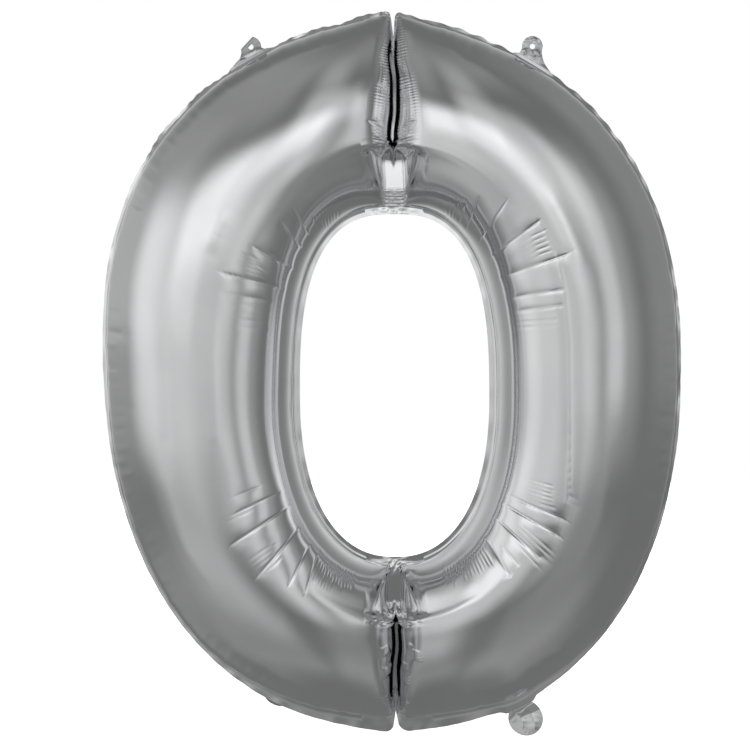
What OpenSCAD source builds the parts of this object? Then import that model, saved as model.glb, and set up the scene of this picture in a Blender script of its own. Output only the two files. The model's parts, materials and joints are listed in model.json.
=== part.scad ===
// Foil number balloon, digit nought, inflated.
// Two metallised film panels are heat-sealed to each other along an outer and an inner seam.
// Seals at the top and the foot part the ring into two chambers that share a narrow gas channel.
// Three punched hanging tabs and a round inflation tail stand out of the outer flange.
// X is to the right, Z is up and the front panel faces -Y. The seam lies in the plane Y = 0.

/* [Outer outline] */
// Half the width across the widest line
half_width = 345; // [330:1:360]
// Height of the widest line above the centre
widest_z = 28; // [20:1:36]
// Rise of the upper curve above the widest line
crown_rise = 404.5; // [395:0.5:412]
// Drop of the lower curve below the widest line
foot_drop = 455; // [445:0.5:465]
// Overlap of the left and right upper curves, which slopes the crown like a roof
crown_overlap = 93; // [80:1:105]
// Overlap of the left and right lower curves
foot_overlap = 17; // [8:1:26]
// Fullness of the outer curves, where 2 is an ellipse
outer_fullness = 2.3; // [2.2:0.05:2.4]
// Height of the raised corners beside each notch
corner_lift = 4.5; // [2:0.5:7]
// Sideways drift of the outline, per millimetre of height
lean = 0.0175; // [0:0.0025:0.03]

/* [Inner outline] */
// Half the width of the opening, edge to edge
opening_half_width = 113; // [105:1:120]
// Height of the opening's centre
opening_z = -25; // [-32:1:-18]
// Rise of the opening above its centre
opening_rise = 214; // [205:1:220]
// Drop of the opening below its centre
opening_drop = 195; // [188:1:202]
// Fullness of the opening's upper half
opening_crown_fullness = 2.7; // [2.4:0.1:3]
// Fullness of the opening's lower half
opening_foot_fullness = 2.3; // [2.1:0.1:2.6]

/* [Chambers] */
// Half the depth of the inflated tube
half_depth = 102; // [90:1:110]
// Wall of a panel, thicker than the real film so that it can be built
wall = 0.4; // [0.3:0.05:0.6]
// Width of the sealed flange round the opening
inner_flange = 9; // [7:0.5:11]
// Width of the sealed flange at the sides and crown
side_flange = 5; // [4:0.5:7]
// Width of the sealed flange along the foot
foot_flange = 16; // [12:1:18]

/* [Slits] */
// Half the width of the seal between the channel and the outer edge
outer_web = 2.3; // [1.8:0.1:3]
// Half the width of the seal between the channel and the opening
inner_web = 11; // [8:0.5:12]
// Distance over which a chamber's end swells from its seal
lip_reach = 26; // [22:1:30]
// Share of the tube's depth that the lip reaches
lip_share = 0.86; // [0.8:0.01:0.92]
// Half the height of the gas channel between the chambers
channel_rise = 15; // [8:1:20]
// Depth of the open notch at the crown
crown_notch = 31; // [24:1:36]
// Depth of the open notch at the foot
foot_notch = 25; // [20:1:30]
// Radius of the corners beside a notch
notch_corner = 6; // [4:0.5:7]

/* [Hanging tabs] */
// Radius of a tab's rounded end
tab_end_r = 12.4; // [11.5:0.1:14]
// Radius of the punched hanging hole
tab_hole_r = 3.2; // [2.5:0.1:4]
// Distance from the slit to the middle of the left crown tab
left_tab_x = 165; // [160:1:170]
// Distance from the slit to the middle of the right crown tab
right_tab_x = 175; // [170:1:180]
// Height of the left crown tab's hole above the middle of its root
left_tab_rise = 14; // [13:0.5:22]
// Height of the right crown tab's hole above the middle of its root
right_tab_rise = 20.5; // [13:0.5:22]
// Distance from the slit to the middle of the foot tab
foot_tab_x = 147; // [142:1:152]
// Distance of a foot tab's hinge behind the visible edge of the flange
foot_tab_inset = 8; // [6:0.5:10]
// Angle at which the foot tab is folded back at rest
foot_tab_fold = 60; // [50:1:66]

/* [Inflation tail] */
// Radius of the round tail
tail_r = 20.3; // [18:0.1:22]
// Distance from the tail's hinge to the centre of its round end
tail_centre = 13.5; // [11:0.5:15]
// Distance from the slit to the middle of the tail
tail_x = 146; // [142:1:152]
// How far the flange stands out where it carries the tail
tail_flare = 4.5; // [2:0.5:6]

/* [Valve] */
// Width of the self-sealing valve
valve_w = 30; // [24:1:34]
// Length of the valve inside the chamber
valve_l = 95; // [70:1:110]
// Thickness of one valve film, thicker than the real film
valve_film = 0.3; // [0.2:0.05:0.4]

/* [Hidden] */

FOIL = [0.72, 0.73, 0.75];
FOIL_BACK = [0.64, 0.65, 0.67];
TAB = [0.50, 0.51, 0.53];
VALVE = [0.90, 0.93, 0.96, 0.6];

FRONT = -1;
BACK = 1;
LEFT = -1;
RIGHT = 1;

CURVE_STEPS = 160;        // points along one half of an outline
SECTION_STEPS = 15;       // steps across the tube, from seam to seam
CHANNEL_STEP = 6;         // the step that lies on the gas channel
ARCH_STEPS = 34;          // steps along a chamber between its two lips
LIP_DISTANCES = [0, outer_web, 5.3, 8.3, inner_web, 16, 22, 30, 40];
SLIT_RATE = 1063;         // distance from a slit, per unit of station, where a chamber starts
SLIT_BLEND = 0.25;        // station by which the columns have fanned out to the whole arc
CORNER_SPREAD = 40;       // distance over which a raised corner dies away
SWELL_REACH = 140;        // distance over which the tube reaches its full depth
FLARE_SPREAD = 24;        // half the length of flange that stands out at the tail
SHIFT_REACH = 25;         // distance from the slit at which half the lean is reached
FILM_GAP = 0.4;           // clearance between the flange and the tab folded behind it
HINGE_OUT = 1.4;          // distance of a hinge outside the chord of the curved edge
ROOT_CLEAR = 0.6;         // distance from a hinge to the piece that turns on it
TAB_WALL = 2 * wall;      // a tab is both panels sealed together

function smooth(t) = let (c = min(1, max(0, t))) c * c * (3 - 2 * c);
function unit(v) = v / norm(v);

// Line that the slits and the opening are centred on
function slit_x(z) = 3 - 0.0035 * z;

// Sideways place of the outer outline: on that line at a slit, and leaning further out
function shift(x, z) = slit_x(z) - (slit_x(z) + lean * z) * x / (x + SHIFT_REACH);

// Extra depth of the flange where it carries the tail
function flare(side, x) = side == RIGHT ? tail_flare * exp(-((x - tail_x) / FLARE_SPREAD) ^ 2) : 0;

// Outer outline of one side as [distance from the slit, height], at a distance from the slit
function crown_z(x) = widest_z
    + crown_rise * (1 - ((x + crown_overlap) / (half_width + crown_overlap)) ^ outer_fullness)
      ^ (1 / outer_fullness)
    + corner_lift * exp(-(x / CORNER_SPREAD) ^ 2);
function foot_z(x) = widest_z
    - foot_drop * (1 - ((x + foot_overlap) / (half_width + foot_overlap)) ^ outer_fullness)
      ^ (1 / outer_fullness)
    - corner_lift / 2 * exp(-(x / CORNER_SPREAD) ^ 2);
function outer_half() = let (n = CURVE_STEPS / 2) concat(
    [for (k = [0 : n]) let (x = half_width * sin(90 * k / n)) [x, crown_z(x)]],
    [for (k = [n - 1 : -1 : 0]) let (x = half_width * sin(90 * k / n)) [x, foot_z(x)]]);

// Inner outline of one side, on a superellipse
function inner_half() = [for (k = [0 : CURVE_STEPS])
    let (a = 90 - 180 * k / CURVE_STEPS,
         e = a > 0 ? opening_crown_fullness : opening_foot_fullness,
         h = a > 0 ? opening_rise : -opening_drop)
    [opening_half_width * cos(a) ^ (2 / e), opening_z + h * abs(sin(a)) ^ (2 / e)]];

// Distances along a path, and the point at a distance
function path_lengths(p) =
    [for (i = 0, s = 0; i < len(p); i = i + 1, s = s + (i < len(p) ? norm(p[i] - p[i - 1]) : 0)) s];
OUTER = outer_half();
INNER = inner_half();
OUTER_S = path_lengths(OUTER);
INNER_S = path_lengths(INNER);
OUTER_LENGTH = OUTER_S[CURVE_STEPS];
INNER_LENGTH = INNER_S[CURVE_STEPS];
OUTER_X = [for (i = [0 : CURVE_STEPS]) [OUTER_S[i], OUTER[i][0]]];
OUTER_Z = [for (i = [0 : CURVE_STEPS]) [OUTER_S[i], OUTER[i][1]]];
INNER_X = [for (i = [0 : CURVE_STEPS]) [INNER_S[i], INNER[i][0]]];
INNER_Z = [for (i = [0 : CURVE_STEPS]) [INNER_S[i], INNER[i][1]]];

// Stations run from 0 at the crown slit to 1 at the foot slit. Near a slit both outlines advance
// at the same rate, so the columns of the grid stand parallel to the slit.
function fan(u) = u < SLIT_BLEND ? u * (1 - u / SLIT_BLEND) ^ 2 : 0;
function along(u, length) = length * u + (SLIT_RATE - length) * (fan(u) - fan(1 - u));

// The open notch at each end of a slit, and the rounded corners beside it
function notch_inset(d, depth) =
    d < outer_web ? depth - (depth - notch_corner) * d / outer_web :
    d < outer_web + notch_corner ?
        notch_corner - sqrt(notch_corner ^ 2 - (outer_web + notch_corner - d) ^ 2) : 0;

// Edges of a panel at a station of one side, as [x, z]
function outer_edge(side, u) =
    let (s = along(u, OUTER_LENGTH),
         d = lookup(s, OUTER_X),
         full = lookup(s, OUTER_Z),
         z = full - sign(full) * notch_inset(d, full > 0 ? crown_notch : foot_notch))
    [side * d + shift(d, z), z - (u > 0.5 ? flare(side, d) : 0)];
function inner_edge(side, u) =
    let (s = along(u, INNER_LENGTH), z = lookup(s, INNER_Z))
    [slit_x(z) + side * lookup(s, INNER_X), z];
function outer_flange(u) = side_flange + (foot_flange - side_flange) * smooth((u - 0.75) / 0.25);

// Share of the tube's depth at a distance from the slit, with the channel on its own step
function web_half(step) = step < CHANNEL_STEP ? inner_web : outer_web;
function lip_arc(t) = sqrt(1 - (1 - min(1, max(0, t))) ^ 2);
function swell(d, step) =
    let (web = step == CHANNEL_STEP ? 0 : web_half(step))
    lip_share * lip_arc((d - web) / lip_reach) + (1 - lip_share) * smooth((d - web) / SWELL_REACH);

// A point of the outer skin: row 0 and the last row are the panel's edges
ROWS = SECTION_STEPS + 3;
function skin_point(face, side, u, row) =
    let (i = inner_edge(side, u),
         o = outer_edge(side, u),
         across = unit(o - i),
         width = norm(o - i),
         low = inner_flange,
         high = width - outer_flange(u),
         step = row - 1,
         a = 180 * step / SECTION_STEPS,
         place = row == 0 ? 0 : row == ROWS - 1 ? width : low + (high - low) * (1 - cos(a)) / 2,
         p = i + across * place,
         d = abs(p[0] - slit_x(p[1])),
         sealed = row < 2 || row > ROWS - 3,
         channel = step == CHANNEL_STEP ? channel_rise : 0,
         rise = sealed ? 0 : max(half_depth * sin(a) * swell(d, step), channel))
    [p[0], face * (wall + rise), p[1]];

// Stations of one side, close together at the lips
LIP = len(LIP_DISTANCES);
function stations() = let (first = LIP_DISTANCES[LIP - 1] / SLIT_RATE) concat(
    [for (d = LIP_DISTANCES) d / SLIT_RATE],
    [for (k = [1 : ARCH_STEPS - 1]) first + (1 - 2 * first) * k / ARCH_STEPS],
    [for (k = [LIP - 1 : -1 : 0]) 1 - LIP_DISTANCES[k] / SLIT_RATE]);
STATIONS = stations();
LAST = len(STATIONS) - 1;
COLUMNS = 2 * LAST;

// Columns run clockwise, down the right side and up the left one
function column_side(c) = c <= LAST ? RIGHT : LEFT;
function column_station(c) = c <= LAST ? STATIONS[c] : STATIONS[COLUMNS - c];
function skin(face) = [for (c = [0 : COLUMNS - 1]) [for (row = [0 : ROWS - 1])
    skin_point(face, column_side(c), column_station(c), row)]];

// The same skin moved in by the wall
function wrap(c) = (c + COLUMNS) % COLUMNS;
function normal_at(g, c, row) = unit(cross(
    g[wrap(c + 1)][row] - g[wrap(c - 1)][row],
    g[c][min(row + 1, ROWS - 1)] - g[c][max(row - 1, 0)]));
function lining(g, face) = [for (c = [0 : COLUMNS - 1]) [for (row = [0 : ROWS - 1])
    g[c][row] + face * wall * normal_at(g, c, row)]];

function flat_list(g) = [for (line = g) for (p = line) p];
function quad(a, b, c, d) = [[a, b, c], [a, c, d]];
function turned(faces, face) = face == FRONT ? faces : [for (f = faces) [f[2], f[1], f[0]]];

module panel(face) {
    outside = skin(face);
    inside = lining(outside, face);
    count = COLUMNS * ROWS;
    faces = [for (c = [0 : COLUMNS - 1])
        let (here = c * ROWS, next = wrap(c + 1) * ROWS)
        each concat(
            [for (r = [0 : ROWS - 2]) each concat(
                quad(here + r, here + r + 1, next + r + 1, next + r),
                quad(count + here + r, count + next + r, count + next + r + 1, count + here + r + 1))],
            quad(here, next, count + next, count + here),
            quad(here + ROWS - 1, count + here + ROWS - 1, count + next + ROWS - 1, next + ROWS - 1))];
    polyhedron(points = concat(flat_list(outside), flat_list(inside)),
               faces = turned(faces, face), convexity = 10);
}

module front_panel() {
    color(FOIL)
    panel(FRONT);
}

module back_panel() {
    color(FOIL_BACK)
    panel(BACK);
}

module plate(thickness) {
    translate([0, 0, -thickness / 2])
    linear_extrude(height = thickness)
    children();
}

// A tab: a round end with a punched hole, and the root that is given as a child
module tongue(hole_y) {
    difference() {
        union() {
            translate([0, hole_y, -TAB_WALL / 2])
            cylinder(r = tab_end_r, h = TAB_WALL, $fn = 64);
            plate(TAB_WALL)
            children();
        }
        translate([0, hole_y, -TAB_WALL])
        cylinder(r = tab_hole_r, h = 2 * TAB_WALL, $fn = 48);
    }
}

// Smooth curve from a to b that leaves a towards c
function bend(a, c, b) = [for (t = [0 : 0.2 : 1]) (1 - t) ^ 2 * a + 2 * t * (1 - t) * c + t ^ 2 * b];

// Crown tab: a tongue that stands upright on the sloping edge.
// Its outline is measured from the hole, x away from the slit and y up.
TAB_ROOT = 20;            // half the length of a tab's root
TAB_FLARE = 22;           // half the length of a tab's root with its flares
TAB_LEAN = 2;             // distance of the hole towards the slit from the root's middle
function tab_x(side) = side == LEFT ? left_tab_x : right_tab_x;
function tab_rise(side) = side == LEFT ? left_tab_rise : right_tab_rise;
function tab_slope(side) =
    atan2(crown_z(tab_x(side) - TAB_ROOT) - crown_z(tab_x(side) + TAB_ROOT), 2 * TAB_ROOT);
function tab_middle(side) =
    [tab_x(side), (crown_z(tab_x(side) - TAB_ROOT) + crown_z(tab_x(side) + TAB_ROOT)) / 2];
function tab_out(side) = [sin(tab_slope(side)), cos(tab_slope(side))];
function tab_hinge(side) = tab_middle(side) + HINGE_OUT * tab_out(side);
function tab_hole(side) = tab_middle(side) + [-TAB_LEAN, tab_rise(side)];

// Middle of a tab's root, measured from the hole
function tab_root(side) = tab_hinge(side) + ROOT_CLEAR * tab_out(side) - tab_hole(side);

module crown_tab_root(side) {
    reach = TAB_FLARE * [cos(tab_slope(side)), -sin(tab_slope(side))];
    neck = 0.65 * tab_end_r;
    near = tab_root(side) - reach;
    polygon(concat(
        bend(near, [-tab_end_r, near[1] / 2], [1 - tab_end_r, 0]),
        bend([tab_end_r - 1, 0], [neck, -14], tab_root(side) + reach)));
}

// Trims a tab straight along its root, clear of the flange
module root_trim(side) {
    translate([tab_root(side)[0], tab_root(side)[1], 0])
    rotate([0, 0, -tab_slope(side)])
    translate([-2 * TAB_FLARE, -TAB_FLARE, -TAB_WALL])
    cube([4 * TAB_FLARE, TAB_FLARE, 2 * TAB_WALL]);
}

module crown_tab(side) {
    hinge = tab_hinge(side);
    translate([side * tab_hole(side)[0] + shift(hinge[0], hinge[1]), 0, tab_hole(side)[1]])
    mirror([side == LEFT ? 1 : 0, 0, 0])
    rotate([90, 0, 0])
    difference() {
        tongue(0)
        crown_tab_root(side);
        root_trim(side);
    }
}

module top_left_tab() {
    color(TAB)
    crown_tab(LEFT);
}

module top_right_tab() {
    color(TAB)
    crown_tab(RIGHT);
}

// Places along the foot: a point of the edge, the slope there and the way out of the outline
function foot_slope(x) = atan2(foot_z(x + 10) - foot_z(x - 10), 20);
function foot_edge(side, x) = [side * x + shift(x, foot_z(x)), foot_z(x) - flare(side, x)];
function foot_out(side, x) = [side * sin(foot_slope(x)), -cos(foot_slope(x))];

// Foot tab: the same tongue, folded back behind the flange on a hinge near the seam
FOOT_TAB_HINGE = foot_edge(LEFT, foot_tab_x) - foot_tab_inset * foot_out(LEFT, foot_tab_x);
FOOT_TAB_Y = wall + FILM_GAP + TAB_WALL / 2;
FOOT_TAB_HOLE = 16.7;     // distance from the hinge to the hole
FOOT_TAB_FLARE = 17;      // half the length of the foot tab's root

module foot_tab_root() {
    neck = 0.75 * tab_end_r;
    polygon(concat(
        bend([-FOOT_TAB_FLARE, ROOT_CLEAR], [-neck, 5], [1 - tab_end_r, FOOT_TAB_HOLE]),
        bend([tab_end_r - 1, FOOT_TAB_HOLE], [neck, 5], [FOOT_TAB_FLARE, ROOT_CLEAR])));
}

module bottom_left_tab() {
    color(TAB)
    translate([FOOT_TAB_HINGE[0], FOOT_TAB_Y, FOOT_TAB_HINGE[1]])
    rotate([0, foot_slope(foot_tab_x), 0])
    rotate([foot_tab_fold - 90, 0, 0])
    tongue(FOOT_TAB_HOLE)
    foot_tab_root();
}

// Inflation tail: two round leaves on one hinge
TAIL_EDGE = foot_edge(RIGHT, tail_x);
TAIL_HINGE = TAIL_EDGE + HINGE_OUT * foot_out(RIGHT, tail_x);

// Lays a shape drawn as [along the foot, towards the chambers] in the seam plane
module on_foot(pos, y) {
    translate([pos[0], y, pos[1]])
    rotate([0, -foot_slope(tail_x), 0])
    rotate([90, 0, 0])
    children();
}

module tail_leaf(face) {
    on_foot(TAIL_HINGE, face * wall / 2)
    plate(wall)
    intersection() {
        translate([0, -tail_centre])
        circle(r = tail_r, $fn = 72);
        translate([-tail_r, -2 * tail_r - tail_centre - ROOT_CLEAR])
        square([2 * tail_r, 2 * tail_r + tail_centre]);
    }
}

module tail_front_leaf() {
    color(FOIL)
    tail_leaf(FRONT);
}

module tail_back_leaf() {
    color(FOIL_BACK)
    tail_leaf(BACK);
}

// Self-sealing valve: two flat films, one on each side of the seam plane
VALVE_START = foot_flange + 1;    // distance from the flange's edge to the valve's outer end

module valve(face) {
    on_foot(TAIL_EDGE, face * valve_film / 2)
    plate(valve_film)
    translate([-valve_w / 2, VALVE_START])
    square([valve_w, valve_l]);
}

module valve_front_film() {
    color(VALVE)
    valve(FRONT);
}

module valve_back_film() {
    color(VALVE)
    valve(BACK);
}

front_panel();
back_panel();
top_left_tab();
top_right_tab();
bottom_left_tab();
tail_front_leaf();
tail_back_leaf();
valve_front_film();
valve_back_film();
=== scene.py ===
"""Looks of the foil number balloon, digit nought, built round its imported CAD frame.

The two film panels are rebuilt as fine meshes from the outline's own formulas, then creased.
Formulas work in millimetres, as the part's design does. Meshes are scaled to metres at the end.
"""

import json
import math

import bpy
import numpy as np
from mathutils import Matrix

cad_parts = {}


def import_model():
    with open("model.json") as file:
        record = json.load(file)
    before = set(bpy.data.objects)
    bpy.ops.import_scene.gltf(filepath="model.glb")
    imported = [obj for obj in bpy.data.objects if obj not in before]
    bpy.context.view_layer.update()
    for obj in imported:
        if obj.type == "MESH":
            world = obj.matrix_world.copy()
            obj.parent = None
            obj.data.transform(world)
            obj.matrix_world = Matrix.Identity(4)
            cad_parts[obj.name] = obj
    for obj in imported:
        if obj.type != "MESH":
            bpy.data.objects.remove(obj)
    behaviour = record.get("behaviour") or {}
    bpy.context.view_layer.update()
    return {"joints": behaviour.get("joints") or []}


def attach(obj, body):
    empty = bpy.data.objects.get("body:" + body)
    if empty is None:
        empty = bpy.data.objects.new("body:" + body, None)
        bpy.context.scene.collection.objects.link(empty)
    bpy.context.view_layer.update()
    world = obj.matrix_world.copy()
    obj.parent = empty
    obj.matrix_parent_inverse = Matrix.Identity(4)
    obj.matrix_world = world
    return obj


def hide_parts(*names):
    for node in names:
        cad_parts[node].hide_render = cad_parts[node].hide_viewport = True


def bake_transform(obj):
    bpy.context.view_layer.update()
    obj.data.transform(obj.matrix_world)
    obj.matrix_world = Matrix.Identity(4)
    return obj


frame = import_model()

MM = 0.001
FRONT, BACK = -1, 1
LEFT, RIGHT = -1, 1

# -------- the design's driving dimensions
HALF_WIDTH = 345
WIDEST_Z = 28
CROWN_RISE = 404.5
FOOT_DROP = 455
CROWN_OVERLAP = 93
FOOT_OVERLAP = 17
OUTER_FULLNESS = 2.3
CORNER_LIFT = 4.5
CORNER_SPREAD = 40
LEAN = 0.0175
SHIFT_REACH = 25

OPENING_HALF_WIDTH = 113
OPENING_Z = -25
OPENING_RISE = 214
OPENING_DROP = 195
OPENING_CROWN_FULLNESS = 2.7
OPENING_FOOT_FULLNESS = 2.3

HALF_DEPTH = 102
WALL = 0.4
INNER_FLANGE = 9
SIDE_FLANGE = 5
FOOT_FLANGE = 16
OUTER_WEB = 2.3
SLIT_WEB = 0.7            # half the width of the web that shows deep between the lips
LIP_REACH = 26
LIP_SHARE = 0.5           # share of the tube's depth that a lip rises to
LIP_LOWER = 0.12          # how much lower a narrow lip is
LIP_FULLNESS = 0.2        # lower is fuller, with a steeper wall at the slit
LIP_CUT = 0.72            # below 1 the lip ends on a soft edge
LIP_ENDS = 11             # width of a lip at the ends of its slit
LIP_MIDDLE = 31           # width of a lip beside the gas channel
SWELL_REACH = 130         # how far from a slit the tube still rises
SHOULDER_FULLNESS = 0.6   # how the tube rises there
CHANNEL_RISE = 15
CROWN_NOTCH = 31
FOOT_NOTCH = 25
CROWN_CORNERS = {LEFT: 6, RIGHT: 10}    # radii of the corners beside the notches
FOOT_CORNERS = {LEFT: 11, RIGHT: 14}
SLIT_RATE = 1063
SLIT_BLEND = 0.25

TAIL_X = 146
TAIL_FLARE = 4.5
FLARE_SPREAD = 24

# -------- the slits as the film shows them
CROWN_WEB = 11.5          # half the width of the flat web between the channel and the opening
FOOT_WEB = 8.4
CROWN_CHANNEL = 0.31      # where the gas channel crosses, as a share of the way out to the seam
FOOT_CHANNEL = 0.345
CHANNEL_HALF = 0.036      # half the channel's width, in the same share


def smooth(t):
    """Nought below 0, one above 1, and an even rise between."""
    c = np.clip(t, 0, 1)
    return c * c * (3 - 2 * c)


def bell(t):
    return np.exp(-t * t)


def slit_x(z):
    """Middle of the slits, which lean a little."""
    return 3 - 0.0035 * z


def shift(x, z):
    """Sideways shift of a point at distance x from the slit, so that the outline leans."""
    return slit_x(z) - (slit_x(z) + LEAN * z) * x / (x + SHIFT_REACH)


def crown_z(x):
    """Height of the outline's upper half at distance x from the slit."""
    t = (x + CROWN_OVERLAP) / (HALF_WIDTH + CROWN_OVERLAP)
    rise = CROWN_RISE * np.maximum(1 - t ** OUTER_FULLNESS, 0) ** (1 / OUTER_FULLNESS)
    return WIDEST_Z + rise + CORNER_LIFT * bell(x / CORNER_SPREAD)


def foot_z(x):
    """Height of its lower half."""
    t = (x + FOOT_OVERLAP) / (HALF_WIDTH + FOOT_OVERLAP)
    drop = FOOT_DROP * np.maximum(1 - t ** OUTER_FULLNESS, 0) ** (1 / OUTER_FULLNESS)
    return WIDEST_Z - drop - CORNER_LIFT / 2 * bell(x / CORNER_SPREAD)


def path_lengths(x, z):
    return np.concatenate([[0], np.cumsum(np.hypot(np.diff(x), np.diff(z)))])


def outer_path():
    """One side of the outer outline: distance along it, distance from the slit, height."""
    x = HALF_WIDTH * np.sin(np.linspace(0, np.pi / 2, 801))
    x, z = np.concatenate([x, x[-2::-1]]), np.concatenate([crown_z(x), foot_z(x)[-2::-1]])
    return path_lengths(x, z), x, z


def inner_path():
    """The same for one side of the opening."""
    a = np.linspace(np.pi / 2, -np.pi / 2, 1601)
    e = np.where(a > 0, OPENING_CROWN_FULLNESS, OPENING_FOOT_FULLNESS)
    h = np.where(a > 0, OPENING_RISE, -OPENING_DROP)
    x = OPENING_HALF_WIDTH * np.abs(np.cos(a)) ** (2 / e)
    z = OPENING_Z + h * np.abs(np.sin(a)) ** (2 / e)
    return path_lengths(x, z), x, z


OUTER = outer_path()
INNER = inner_path()


def fan(u):
    return np.where(u < SLIT_BLEND, u * (1 - u / SLIT_BLEND) ** 2, 0)


def along(u, length):
    """Distance along an outline at station u. Columns start square to the slits, then fan out."""
    return length * u + (SLIT_RATE - length) * (fan(u) - fan(1 - u))


def notch_inset(d, depth, radius):
    """How far a slit's notch and its rounded corner cut the outline back."""
    ramp = depth - (depth - radius) * d / OUTER_WEB
    t = np.clip(OUTER_WEB + radius - d, 0, radius)
    corner = radius - np.sqrt(radius ** 2 - t ** 2)
    return np.where(d < OUTER_WEB, ramp, corner)


def flare(side, x):
    """How far the flange stands out at the tail."""
    return TAIL_FLARE * bell((x - TAIL_X) / FLARE_SPREAD) if side == RIGHT else 0 * x


def outer_edge(side, u):
    """Cut edge of the outer flange at stations u."""
    s = along(u, OUTER[0][-1])
    d = np.interp(s, OUTER[0], OUTER[1])
    full = np.interp(s, OUTER[0], OUTER[2])
    crown = notch_inset(d, CROWN_NOTCH, CROWN_CORNERS[side])
    foot = notch_inset(d, FOOT_NOTCH, FOOT_CORNERS[side])
    z = full - np.where(full > 0, crown, -foot)
    return np.stack([side * d + shift(d, z), z - np.where(u > 0.5, flare(side, d), 0)], -1)


def inner_edge(side, u):
    """Cut edge of the film round the opening."""
    s = along(u, INNER[0][-1])
    z = np.interp(s, INNER[0], INNER[2])
    return np.stack([slit_x(z) + side * np.interp(s, INNER[0], INNER[1]), z], -1)


def outer_flange(u):
    """Width of the outer flange, which is wider along the foot."""
    return SIDE_FLANGE + (FOOT_FLANGE - SIDE_FLANGE) * smooth((u - 0.75) / 0.25)


# -------- the lattice that the film is built on
LIP_STEP = 1.0            # column step across a lip, in mm from the slit
LIP_EDGE = 14             # where the steps grow
LIP_END = 40
LIP_GROWING = 13          # columns over which they grow
ARCH_STEP = 1.7           # finest column step along the outer seam
COARSE = 4                # a coarse cell takes this many columns
COARSE_ROWS = 6           # and this many rows
SECTION_ROWS = 324        # rows across the tube
INNER_ROWS = 12           # rows across the inner flange
OUTER_ROWS = 12


def stations():
    """Stations of the columns of one side, and the number of columns across a lip."""
    lip = np.concatenate([np.arange(0, LIP_EDGE, LIP_STEP), np.linspace(LIP_EDGE, LIP_END, LIP_GROWING)])
    count = COARSE * round(OUTER[0][-1] / ARCH_STEP / COARSE)
    first = LIP_END / SLIT_RATE
    arch = np.linspace(first, 1 - first, count + 1)[1:-1]
    return np.concatenate([lip / SLIT_RATE, arch, 1 - lip[::-1] / SLIT_RATE]), len(lip) - 1


class Lattice:
    """Columns run down the right side and up the left. Rows run from the opening to the outer edge."""

    def __init__(self):
        one, self.lip = stations()
        last = len(one) - 1
        self.u = np.concatenate([one, one[-2:0:-1]])
        self.side = np.concatenate([np.full(last + 1, RIGHT), np.full(last - 1, LEFT)])
        self.columns = len(self.u)
        self.last = last
        self.rows = INNER_ROWS + SECTION_ROWS + OUTER_ROWS + 1
        self.place_rows()

    def place_rows(self):
        on_right = (self.side == RIGHT)[:, None]
        i = np.where(on_right, inner_edge(RIGHT, self.u), inner_edge(LEFT, self.u))
        o = np.where(on_right, outer_edge(RIGHT, self.u), outer_edge(LEFT, self.u))
        width = np.linalg.norm(o - i, axis=1)
        across = (o - i) / width[:, None]
        low = np.full(self.columns, float(INNER_FLANGE))
        high = width - outer_flange(self.u)
        self.angle = np.concatenate([np.zeros(INNER_ROWS), np.linspace(0, np.pi, SECTION_ROWS + 1),
                                     np.full(OUTER_ROWS, np.pi)])
        inner = low[:, None] * np.linspace(0, 1, INNER_ROWS + 1)[:-1]
        tube = low[:, None] + (high - low)[:, None] * (1 - np.cos(self.angle[INNER_ROWS:-OUTER_ROWS])) / 2
        outer = high[:, None] + (width - high)[:, None] * np.linspace(0, 1, OUTER_ROWS + 1)[1:]
        self.place = np.concatenate([inner, tube, outer], axis=1)
        self.flat = i[:, None, :] + across[:, None, :] * self.place[:, :, None]
        self.width = width
        self.across = across
        self.share = np.clip((self.place - low[:, None]) / (high - low)[:, None], 0, 1)
        self.from_slit = np.abs(self.flat[..., 0] - slit_x(self.flat[..., 1]))
        self.u_at = np.repeat(self.u[:, None], self.rows, axis=1)
        self.side_at = np.repeat(self.side[:, None], self.rows, axis=1)
        self.from_outer = self.width[:, None] - self.place


def lip_arc(t):
    """Profile of a lip across its width."""
    return (1 - (1 - LIP_CUT * np.clip(t, 0, 1)) ** 2) ** LIP_FULLNESS


def lip_reach(g):
    """Width of a lip: widest beside the gas channel, narrow at both ends of the slit."""
    return LIP_ENDS + (LIP_MIDDLE - LIP_ENDS) * np.sin(np.pi * g.share ** 0.75)


def channel_at(g):
    """Distance from the gas channel along the slit, in half widths of the channel."""
    return (g.share - np.where(g.u_at < 0.5, CROWN_CHANNEL, FOOT_CHANNEL)) / CHANNEL_HALF


def web_half(g):
    """Half the width of the sealed web along each slit. The gas channel breaks it."""
    t = channel_at(g)
    inner = np.where(g.u_at < 0.5, CROWN_WEB, FOOT_WEB)
    outer = SLIT_WEB + (OUTER_WEB - SLIT_WEB) * smooth((g.share - 0.9) / 0.06)
    return (inner + (outer - inner) * smooth((t + 1) / 2)) * (1 - bell(t * 1.1))


def swell(g):
    """Share of the tube's depth near the slits."""
    off = g.from_slit - web_half(g)
    reach = lip_reach(g)
    share = LIP_SHARE - LIP_LOWER * smooth((LIP_MIDDLE - reach) / LIP_MIDDLE)
    shoulder = (1 - (1 - np.clip(off / SWELL_REACH, 0, 1)) ** 2) ** SHOULDER_FULLNESS
    return share * lip_arc(off / reach) + (1 - share) * shoulder


def depth(g):
    """Half the depth of the inflated film: the tube's, or the gas channel's where that is more."""
    bridge = CHANNEL_RISE * bell(channel_at(g)) * bell(g.from_slit / LIP_REACH)
    tube = HALF_DEPTH * np.maximum(np.sin(g.angle), 0)[None, :] * swell(g)
    return np.maximum(tube, bridge)


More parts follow.
